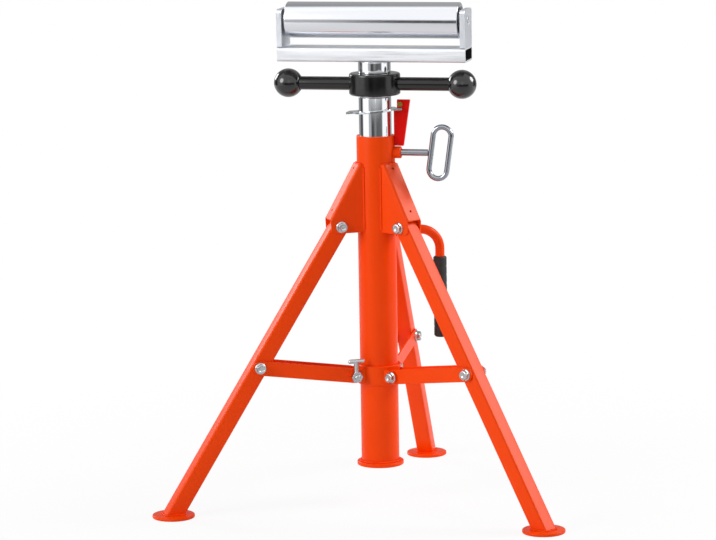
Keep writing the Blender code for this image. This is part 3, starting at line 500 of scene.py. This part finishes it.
def threaded(radius, depth, pitch, low, high, sides=32, rows=8, plain=0.0):
    """A rod along Z with a rolled thread and a tapered tip; the last plain length stays smooth."""
    bm = bmesh.new()
    count = int((high - low) / pitch * rows)
    rings = []
    for i in range(count + 1):
        z = low + (high - low) * i / count
        taper = min(1.0, (z - low) / (TIP_TAPER * pitch))
        ring_points = []
        for k in range(sides):
            wave = (z / pitch - k / sides) % 1
            cut = depth * max(0, 1 - abs(wave - 0.5) * GROOVE_SLOPE) if z < high - plain else 0
            size = radius - cut - (1 - taper) * depth
            ring_points.append(bm.verts.new((*around(size, k, sides), z)))
        rings.append(ring_points)
    skin_over(bm, rings)
    return bm


def joined(*parts):
    bm = bmesh.new()
    for part in parts:
        held = bpy.data.meshes.new("held")
        part.to_mesh(held)
        part.free()
        bm.from_mesh(held)
        bpy.data.meshes.remove(held)
    return bm


def bolt(name, node, place, body, seat, tip):
    head = hex_head(HEX_HALF, seat, seat + WASHER_T + HEX_H, dish_r=DISH_R, dish=DISH_DEPTH)
    shank = threaded(BOLT_R, THREAD_DEPTH, THREAD_PITCH, tip, seat - HEAD_OVERLAP,
                     plain=max(0, seat - tip - THREAD_LONG))
    wear(made_of(name, joined(head, shank), place, sharp=40), body, "zinc_steel", zinc_plate, node)


def nut(name, node, place, body, seat):
    ring = hex_head(HEX_HALF, seat, seat + WASHER_T + NUT_H, bore=BOLT_R + NUT_FIT)
    wear(made_of(name, ring, place, sharp=40), body, "zinc_steel", zinc_plate, node)


def across(side, radius, height, way):
    """Frame of a bolt across a leg's plane, with its head towards way."""
    station = at_upright @ Matrix.Rotation(LEG_ANGLES[side], 4, "Z")
    return station @ Matrix.Translation((radius, 0, height)) @ Matrix.Rotation(-way * pi / 2, 4, "X")


COLLAR_PIVOT_R, COLLAR_Z = 42 * MM, 196 * MM
LEG_TO_BRACE = 241.6 * MM
BRACE_PIVOT_R = LEG_PIVOT_R + LEG_TO_BRACE * sin(LEG_TILT)
BRACE_PIVOT_Z = LEG_PIVOT_Z - LEG_TO_BRACE * cos(LEG_TILT)
LEVER_NUT_H = 9 * MM
for side in LEG_ANGLES:
    shown = 1 if side == "left" else -1
    seat = CHEEK_HALF + JOINT_GAP
    tip = -(seat + WASHER_T + NUT_H + THREAD_SHOWN)
    head_frame, nut_frame = (across(side, LEG_PIVOT_R, LEG_PIVOT_Z, way) for way in (shown, -shown))
    bolt(f"{side}_pivot_flange_bolt", f"{side}_leg_pivot_bolt", head_frame, "stand", seat, tip)
    nut(f"{side}_pivot_flange_nut", f"{side}_leg_pivot_nut", nut_frame, "stand", seat)
    for way in (-1, 1):
        word = "near" if way == shown else "far"
        bolt(f"{side}_brace_flange_bolt_{word}", f"{side}_brace_bolt_{word}",
             across(side, BRACE_PIVOT_R, BRACE_PIVOT_Z, way), f"{side}_brace", BRACE_OUT + JOINT_GAP,
             LEG_SIZE / 2 + JOINT_GAP)
    seat = EAR_OUT + JOINT_GAP
    shown = -shown if side == "left" else shown
    depth = LEVER_NUT_H if side == "left" else NUT_H
    head_frame, nut_frame = (across(side, COLLAR_PIVOT_R, COLLAR_Z, way) for way in (shown, -shown))
    bolt(f"{side}_collar_flange_bolt", f"{side}_collar_bolt", head_frame, "collar", seat,
         -(seat + WASHER_T + depth + THREAD_SHOWN))
    if side != "left":
        nut(f"{side}_collar_flange_nut", f"{side}_collar_nut", nut_frame, "collar", seat)


# Clamping nut: a drop-forged hex with a stem and a cross grip, zinc plated like the bolts.
# Turned by hand, it pinches the ears on the left brace and so locks the folded or opened legs.
paint("fold_clamp_nut", "zinc_steel", zinc_plate, width=0.5 * MM)


# Mast: precision steel tube, centreless ground and hard chromed, so that it slides and wipes clean.
# Its polish is near a mirror, with only the finest rings left by the buffing wheel.
chrome_plate = plated("hard_chrome_plate", "#E4E6EA", 0.055, 0.9 * MM, 0.012 * MM, stretch=(0.05, 0.05, 1))
mast_low, mast_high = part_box("mast_tube")
MAST_R = (mast_high.x - mast_low.x) / 2
MAST_BORE = 20.95 * MM
MAST_EDGE = 0.9 * MM
mast_bm = turned_ring(MAST_BORE, MAST_R, mast_low.z, mast_high.z, MAST_EDGE, 128)
mast = made_of("chromed_mast", mast_bm, at_upright)
wear(mast, "mast", "chrome", chrome_plate, "mast_tube")
washer_low, washer_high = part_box("thrust_washer")
SCREW_R = 15 * MM
WASHER_FIT, WASHER_EDGE = 0.7 * MM, 0.5 * MM
washer_bm = turned_ring(SCREW_R + WASHER_FIT, MAST_R, washer_low.z, washer_high.z, WASHER_EDGE)
washer = made_of("hardened_washer", washer_bm, at_upright)
wear(washer, "mast", "zinc_steel", zinc_plate, "thrust_washer")


# Jack screw: a bright steel bar with a rolled trapezoidal thread of six millimetres lead.
# It shows only when the nut has raised the head; greased threads look darker in their roots.
greased_steel = plated("greased_thread_steel", "#B9BBBE", 0.22, 2.5 * MM, 0.03 * MM)
screw_low, screw_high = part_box("jack_screw")
SCREW_LEAD, SCREW_CUT, SCREW_PLAIN = 6 * MM, 2.4 * MM, 16 * MM
screw_bm = threaded(SCREW_R, SCREW_CUT, SCREW_LEAD, screw_low.z, screw_high.z, sides=64, rows=12,
                    plain=SCREW_PLAIN)
screw = made_of("trapezoidal_screw", screw_bm, at_upright, sharp=50)
wear(screw, "jack_screw", "chrome", greased_steel, "jack_screw")


# Jack nut: a turned steel hub with both bars driven into it, sprayed satin black.
# Its rims are broken with a wide chamfer, and the bearing faces are left narrow.
def black_finish(name, colour, roughness, grain, depth, coat=0.0):
    """Black skin over steel or resin, with the grain of its mould or spray."""
    material = bpy.data.materials.new(name)
    material.use_nodes = True
    tree = material.node_tree
    shader = tree.nodes["Principled BSDF"]
    shader.inputs["Base Color"].default_value = linear(colour)
    shader.inputs["Coat Weight"].default_value = coat
    shader.inputs["Coat Roughness"].default_value = 0.08
    place = add(tree, "ShaderNodeTexCoord").outputs["Object"]
    skin = add(tree, "ShaderNodeTexNoise", {"Vector": place, "Scale": 1 / grain, "Detail": 3.0})
    bumps = add(tree, "ShaderNodeBump", {"Height": skin.outputs["Fac"], "Strength": 0.25, "Distance": depth})
    tree.links.new(bumps.outputs["Normal"], shader.inputs["Normal"])
    rough = add(tree, "ShaderNodeMapRange", {"Value": skin.outputs["Fac"], "To Min": roughness * 0.8,
                                             "To Max": roughness * 1.25})
    tree.links.new(rough.outputs["Result"], shader.inputs["Roughness"])
    return material


satin_black = black_finish("satin_black_enamel", "#060606", 0.18, 1.2 * MM, 0.01 * MM, coat=0.1)
hub_low, hub_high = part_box("jack_nut")
HUB_R = (hub_high.x - hub_low.x) / 2
HUB_RIM = 3.2 * MM
HUB_BORE = SCREW_R + 0.35 * MM
HUB_LIP = 0.5 * MM
outline = filleted([(HUB_BORE, hub_low.z, HUB_LIP), (HUB_R, hub_low.z), (HUB_R, hub_high.z),
                    (HUB_BORE, hub_high.z, HUB_LIP)], HUB_RIM, steps=6)
hub = made_of("jack_nut_hub", lathe(outline, 128), at_upright)
wear(hub, "jack_nut", "black_steel", satin_black, "jack_nut")


# Turning bars: two lengths of plain round bar, pressed into the hub and sprayed with it.
# Their outer ends are broken with a small radius, and run into the ball knobs.
BAR_R, BAR_ROOT, BAR_EDGE, BAR_SHORT = 10 * MM, 37 * MM, 1 * MM, 4 * MM
BALL_R, BALL_CENTRE, BALL_FLAT = 21.5 * MM, 132 * MM, 18 * MM
hub_middle = at_upright @ Matrix.Translation((0, 0, (hub_low.z + hub_high.z) / 2))
for word, turn in (("left", pi), ("right", 0)):
    outward = hub_middle @ Matrix.Rotation(turn, 4, "Z") @ Matrix.Rotation(pi / 2, 4, "Y")
    outline = filleted([(0, BAR_ROOT, 0), (BAR_R, BAR_ROOT, 0), (BAR_R, BALL_CENTRE - BAR_SHORT),
                        (0, BALL_CENTRE - BAR_SHORT, 0)], BAR_EDGE)
    bar = made_of(f"{word}_black_bar", lathe(outline, 64), outward)
    wear(bar, "jack_nut", "black_steel", satin_black, f"{word}_turning_bar")


# Ball knobs: compression-moulded phenolic resin, glossy from the polished mould.
# Each has a flat mouth with a rounded rim where it is screwed on the bar.
phenolic = black_finish("moulded_phenolic_resin", "#0E0E0E", 0.16, 6 * MM, 0.02 * MM, coat=0.4)
BALL_ROWS = 40
RIM_OUT, RIM_DOWN, RIM_UP, BALL_FIT = 1.0 * MM, 0.2 * MM, 0.6 * MM, 0.25 * MM
mouth = acos(-BALL_FLAT / BALL_R)
mouth_at = BALL_CENTRE - BALL_FLAT
for word, turn in (("left", pi), ("right", 0)):
    outward = hub_middle @ Matrix.Rotation(turn, 4, "Z") @ Matrix.Rotation(pi / 2, 4, "Y")
    bends = [mouth * i / BALL_ROWS for i in range(BALL_ROWS + 1)]
    outline = [(BALL_R * sin(bend), BALL_CENTRE + BALL_R * cos(bend)) for bend in bends]
    outline += [(BAR_R + RIM_OUT, mouth_at - RIM_DOWN), (BAR_R + BALL_FIT, mouth_at + RIM_UP),
                (BAR_R + BALL_FIT, BALL_CENTRE), (0, BALL_CENTRE)]
    ball = made_of(f"{word}_phenolic_ball", lathe(outline, 96), outward, sharp=50)
    wear(ball, "jack_nut", "black_plastic", phenolic, f"{word}_ball_knob")


# Head socket: a short length of the mast's own tube, welded under the roller head's beam.
# It turns on the jack screw, so the head can face any way.
socket_low, socket_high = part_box("head_socket")
SOCKET_WALL, SOCKET_EDGE = 3 * MM, 0.6 * MM
socket_bm = turned_ring(MAST_R - SOCKET_WALL, MAST_R, socket_low.z, socket_high.z, SOCKET_EDGE, 128)
socket = made_of("chromed_socket", socket_bm, at_upright)
wear(socket, "roller_head", "chrome", chrome_plate, "head_socket")


# Beam: rectangular steel tube, sawn square and bright plated, open at both ends.
# Rolling leaves its corners round and long faint lines down its faces.
beam_plate = plated("satin_plated_tube", "#E6E8EC", 0.45, 1.4 * MM, 0.02 * MM, stretch=(0.02, 1, 1))
beam_low, beam_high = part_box("head_base_tube")
BEAM_WALL, BEAM_CORNER = 2.5 * MM, 4 * MM
beam_l, beam_w, beam_h = beam_high - beam_low
beam_middle = Matrix.Translation((beam_low + beam_high) / 2) @ Matrix.Rotation(pi / 2, 4, "Y")
beam_middle = beam_middle @ Matrix.Rotation(pi / 2, 4, "Z")
tube = sleeve(rounded_square(beam_w, beam_h, BEAM_CORNER, 8),
              rounded_square(beam_w - 2 * BEAM_WALL, beam_h - 2 * BEAM_WALL, BEAM_CORNER - BEAM_WALL, 8),
              lambda x, y: -beam_l / 2, lambda x, y: beam_l / 2)
beam = made_of("plated_beam", tube, beam_middle, sharp=40)
wear(beam, "roller_head", "chrome", beam_plate, "head_base_tube")
# The inner walls take a near-black finish: painted shade for the dark inside of the open tube.
beam.data.materials.append(black_finish("tube_inside_painted_shade", "#15130F", 0.6, 3 * MM, 0.03 * MM))
faces_round = len(beam.data.polygons) // 4
for face in beam.data.polygons[2 * faces_round:3 * faces_round]:
    face.material_index = 1


# End plates: flame-cut steel plate, edges ground and bright plated, welded upright on the beam.
# Each holds one end of the fixed axle.
plate_metal = plated("ground_plate_steel", "#DDE0E6", 0.42, 1.2 * MM, 0.03 * MM, stretch=(1, 1, 0.06))
for word in ("left", "right"):
    paint(f"{word}_end_plate", "chrome", plate_metal, width=0.7 * MM, segments=3)
PLATE_SEAM_R = 0.9 * MM
PLATE_T = 8 * MM
for way, word in ((-1, "left"), (1, "right")):
    inner = UPRIGHT.x + way * (beam_l / 2 - PLATE_T) - way * 0.3 * PLATE_SEAM_R
    half = beam_w / 2 - BEAM_CORNER
    count = int(2 * half / BEAD_STEP)
    path = [Vector((inner, UPRIGHT.y - half + BEAD_STEP * i, beam_high.z + 0.45 * PLATE_SEAM_R))
            for i in range(count)]
    wear(weld_bead(f"{word}_plate_weld", path, PLATE_SEAM_R), "roller_head", "chrome", beam_plate)


# Roller: thick steel tube, turned true and bright zinc plated, on a bearing at each end.
# The tool leaves fine rings round it, which smear each reflection along its length.
ringed_steel = plated("turned_roller_steel", "#E2E4E9", 0.15, 1.1 * MM, 0.02 * MM, stretch=(1, 0.03, 0.03))
roller_low, roller_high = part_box("roller")
ROLLER_R = (roller_high.z - roller_low.z) / 2
ROLLER_BORE = 22.75 * MM
ROLLER_EDGE, ROLLER_BORE_EDGE = 1 * MM, 0.5 * MM
axle_height = (roller_low.z + roller_high.z) / 2
axle_line = Matrix.Translation((UPRIGHT.x, UPRIGHT.y, axle_height)) @ Matrix.Rotation(pi / 2, 4, "Y")
half = (roller_high.x - roller_low.x) / 2
roller_bm = turned_ring(ROLLER_BORE, ROLLER_R, -half, half, ROLLER_EDGE, 128, ROLLER_BORE_EDGE)
wear(made_of("turned_roller", roller_bm, axle_line), "roller", "chrome", ringed_steel, "roller")


# Bearings: sealed deep-groove ball bearings pressed into the roller's ends.
# The face shows outer ring, dark rubber shield and inner ring, one step in from the roller's end.
ring_steel = plated("ground_bearing_steel", "#CDD0D4", 0.12, 0.8 * MM, 0.01 * MM)
shield_rubber = black_finish("bearing_shield_rubber", "#2A2B2D", 0.5, 0.8 * MM, 0.03 * MM)
AXLE_R, AXLE_FIT, RING_EDGE = 6 * MM, 0.3 * MM, 0.4 * MM
OUTER_RING, INNER_RING, SHIELD_STEP = 3.2 * MM, 3.6 * MM, 0.5 * MM
for way, word in ((-1, "left"), (1, "right")):
    low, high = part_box(f"{word}_bearing")
    near, far = sorted((abs(low.x - UPRIGHT.x), abs(high.x - UPRIGHT.x)))
    outer_r = (high.z - low.z) / 2
    bore = AXLE_R + AXLE_FIT
    outward = axle_line @ (Matrix.Identity(4) if way > 0 else Matrix.Rotation(pi, 4, "X"))
    gap_in, gap_out = bore + INNER_RING, outer_r - OUTER_RING
    rings_bm = joined(turned_ring(gap_out, outer_r, near, far, RING_EDGE, 72),
                      turned_ring(bore, gap_in, near, far, RING_EDGE, 72))
    rings = made_of(f"{word}_bearing_rings", rings_bm, outward)
    wear(rings, "roller", "zinc_steel", ring_steel, f"{word}_bearing")
    shield = turned_ring(gap_in, gap_out, near + SHIELD_STEP, far - SHIELD_STEP, 0, 72)
    wear(made_of(f"{word}_bearing_shield", shield, outward), "roller", "black_plastic", shield_rubber)


# Axle and spacers: bright drawn bar with turned ends, and two plated rings that keep the roller centred.
# The axle stands fixed in the end plates, and only the roller turns.
axle_low, axle_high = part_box("roller_axle")
half = (axle_high.x - axle_low.x) / 2
CENTRE_MARK, MARK_EDGE, AXLE_EDGE = 1.6 * MM, 0.2 * MM, 0.8 * MM
outline = filleted([(0, -half + CENTRE_MARK, 0), (CENTRE_MARK, -half, MARK_EDGE), (AXLE_R, -half),
                    (AXLE_R, half), (CENTRE_MARK, half, MARK_EDGE), (0, half - CENTRE_MARK, 0)], AXLE_EDGE)
axle = made_of("bright_axle", lathe(outline, 64), axle_line)
wear(axle, "roller_head", "zinc_steel", zinc_plate, "roller_axle")
SPACER_EDGE = 0.5 * MM
for word in ("left", "right"):
    low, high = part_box(f"{word}_spacer")
    spacer_bm = turned_ring(AXLE_R + AXLE_FIT, (high.z - low.z) / 2, low.x - UPRIGHT.x, high.x - UPRIGHT.x,
                            SPACER_EDGE, 64)
    spacer = made_of(f"{word}_axle_ring", spacer_bm, axle_line)
    wear(spacer, "roller_head", "zinc_steel", zinc_plate, f"{word}_spacer")


# Clamp screw: bright bar with a rolled thread where it runs in its boss and plain towards the handle.
# A closed oval of round bar is welded across its end to turn it by hand.
bright_bar = plated("bright_plated_bar", "#9A9EA5", 0.10, 1.3 * MM, 0.02 * MM)
clamp_low, clamp_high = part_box("clamp_screw")
CLAMP_R = 5 * MM
CLAMP_HEIGHT = (clamp_low.z + clamp_high.z) / 2
CLAMP_THREAD, CLAMP_PITCH, CLAMP_CUT = 14 * MM, 1.75 * MM, 0.8 * MM
clamp_line = Matrix.Translation((clamp_low.x, UPRIGHT.y, CLAMP_HEIGHT)) @ Matrix.Rotation(pi / 2, 4, "Y")
long = clamp_high.x - clamp_low.x
screw_bm = threaded(CLAMP_R, CLAMP_CUT, CLAMP_PITCH, 0, long, rows=10, plain=long - CLAMP_THREAD)
screw = made_of("clamp_screw_bar", screw_bm, clamp_line, sharp=50)
wear(screw, "clamp_screw", "zinc_steel", bright_bar, "clamp_screw")

LOOP_LONG, LOOP_WIDE, LOOP_ROD_R, LOOP_LEAN = 85.5 * MM, 35 * MM, 4 * MM, radians(8)
CLAMP_END = 80 * MM
across_half = LOOP_WIDE / 2 - LOOP_ROD_R
rise = (LOOP_LONG - LOOP_WIDE) / 2
loop_centre = UPRIGHT + Vector((CLAMP_END + (across_half + LOOP_ROD_R) / cos(LOOP_LEAN), 0, CLAMP_HEIGHT))
loop_frame = Matrix.Translation(loop_centre) @ Matrix.Rotation(LOOP_LEAN, 4, "Y")
LOOP_STEPS = 28
bends = [pi * i / LOOP_STEPS for i in range(LOOP_STEPS + 1)]
path = [Vector((across_half * cos(bend), 0, rise + across_half * sin(bend))) for bend in bends]
path += [Vector((-p.x, 0, -p.z)) for p in path]


def bent_rod(path, radius, closed, sides=20):
    """Round bar along a path that lies in the XZ plane."""
    bm = bmesh.new()
    rings = []
    count = len(path)
    for i, point in enumerate(path):
        after = path[(i + 1) % count] if closed or i + 1 < count else point
        before = path[i - 1] if closed or i else point
        along = (after - before).normalized()
        side = Vector((0, 1, 0))
        out = along.cross(side)
        rings.append([bm.verts.new(point + side * radius * cos(2 * pi * k / sides)
                                   + out * radius * sin(2 * pi * k / sides)) for k in range(sides)])
    skin_over(bm, rings, closed)
    return bm


loop = made_of("oval_turning_handle", bent_rod(path, LOOP_ROD_R, True), loop_frame)
wear(loop, "clamp_handle", "zinc_steel", bright_bar, "clamp_handle")


# Lock bracket: thick plate welded on the column's side, in the orange paint of the rest; its darker red coat
# is painted shade on that face.
# The thin grip plate hooks over its step and binds on the mast; a brass pin crosses above it.
shaded_orange_coat = powder_coat("orange_coat_painted_shade", "#E60401", "#DC0301")
paint("lock_bracket", "red_paint", shaded_orange_coat, width=0.6 * MM)
spring_steel = plated("plated_spring_steel", "#CBD0D4", 0.2, 1.0 * MM, 0.02 * MM)
paint("lock_plate", "zinc_steel", spring_steel, width=0.4 * MM)
turned_brass = plated("turned_brass", "#B08A3C", 0.25, 0.8 * MM, 0.02 * MM)
paint("lock_pin", "brass", turned_brass, width=0.35 * MM)


# Carrying handle: steel tube bent once and welded square on the column, orange as the rest.
# Its end is pushed into a moulded grip with shallow finger rings.
HANDLE_TURN = radians(30)
HANDLE_R, HANDLE_Z, HANDLE_OUT, HANDLE_BEND = 7 * MM, 409.5 * MM, 98 * MM, 31 * MM
GRIP_R, GRIP_TOP, GRIP_L, GRIP_WALL_END = 10 * MM, 367 * MM, 122.5 * MM, 6 * MM
handle_frame = at_upright @ Matrix.Rotation(HANDLE_TURN, 4, "Z")
BEND_STEPS = 24
bends = [pi / 2 * i / BEND_STEPS for i in range(BEND_STEPS + 1)]
path = [Vector((COLUMN_R + 0.2 * MM, 0, HANDLE_Z))]
path += [Vector((HANDLE_OUT - HANDLE_BEND + HANDLE_BEND * sin(bend), 0,
                 HANDLE_Z - HANDLE_BEND + HANDLE_BEND * cos(bend))) for bend in bends]
path.append(Vector((HANDLE_OUT, 0, GRIP_TOP - GRIP_L + GRIP_WALL_END + JOINT_GAP)))
tube = made_of("bent_handle_tube", bent_rod(path, HANDLE_R, False, sides=32), handle_frame)
wear(tube, "stand", "orange_paint", orange_coat, "carry_handle")
turns = ceil(2 * pi * HANDLE_R / BEAD_STEP)
path = []
for i in range(turns):
    y, z = around(HANDLE_R + 0.3 * SEAM_R, i, turns)
    path.append(handle_frame @ Vector((sqrt(COLUMN_R ** 2 - y ** 2) + 0.5 * SEAM_R, y, HANDLE_Z + z)))
wear(weld_bead("handle_weld", path, SEAM_R, closed=True), "stand", "orange_paint", orange_coat)

soft_grip = black_finish("moulded_soft_grip", "#161616", 0.55, 1.0 * MM, 0.08 * MM)
RING_COUNT, RING_DEPTH = 9, 0.35 * MM
grip_low = GRIP_TOP - GRIP_L
rows = 120
outline = [(0, grip_low), (GRIP_R - 2.2 * MM, grip_low)]
for i in range(rows + 1):
    share_up = i / rows
    z = grip_low + 2.2 * MM + (GRIP_L - 4.0 * MM) * share_up
    ring_wave = max(0.0, cos(2 * pi * RING_COUNT * share_up)) ** 6 if 0.06 < share_up < 0.94 else 0.0
    outline.append((GRIP_R - RING_DEPTH * ring_wave, z))
outline += [(GRIP_R - 1.8 * MM, GRIP_TOP), (HANDLE_R + 0.25 * MM, GRIP_TOP),
            (HANDLE_R + 0.25 * MM, grip_low + GRIP_WALL_END), (0, grip_low + GRIP_WALL_END)]
grip_frame = handle_frame @ Matrix.Translation((HANDLE_OUT, 0, 0))
grip = made_of("moulded_grip", lathe(outline, 64), grip_frame, sharp=50)
wear(grip, "stand", "black_plastic", soft_grip, "carry_grip")
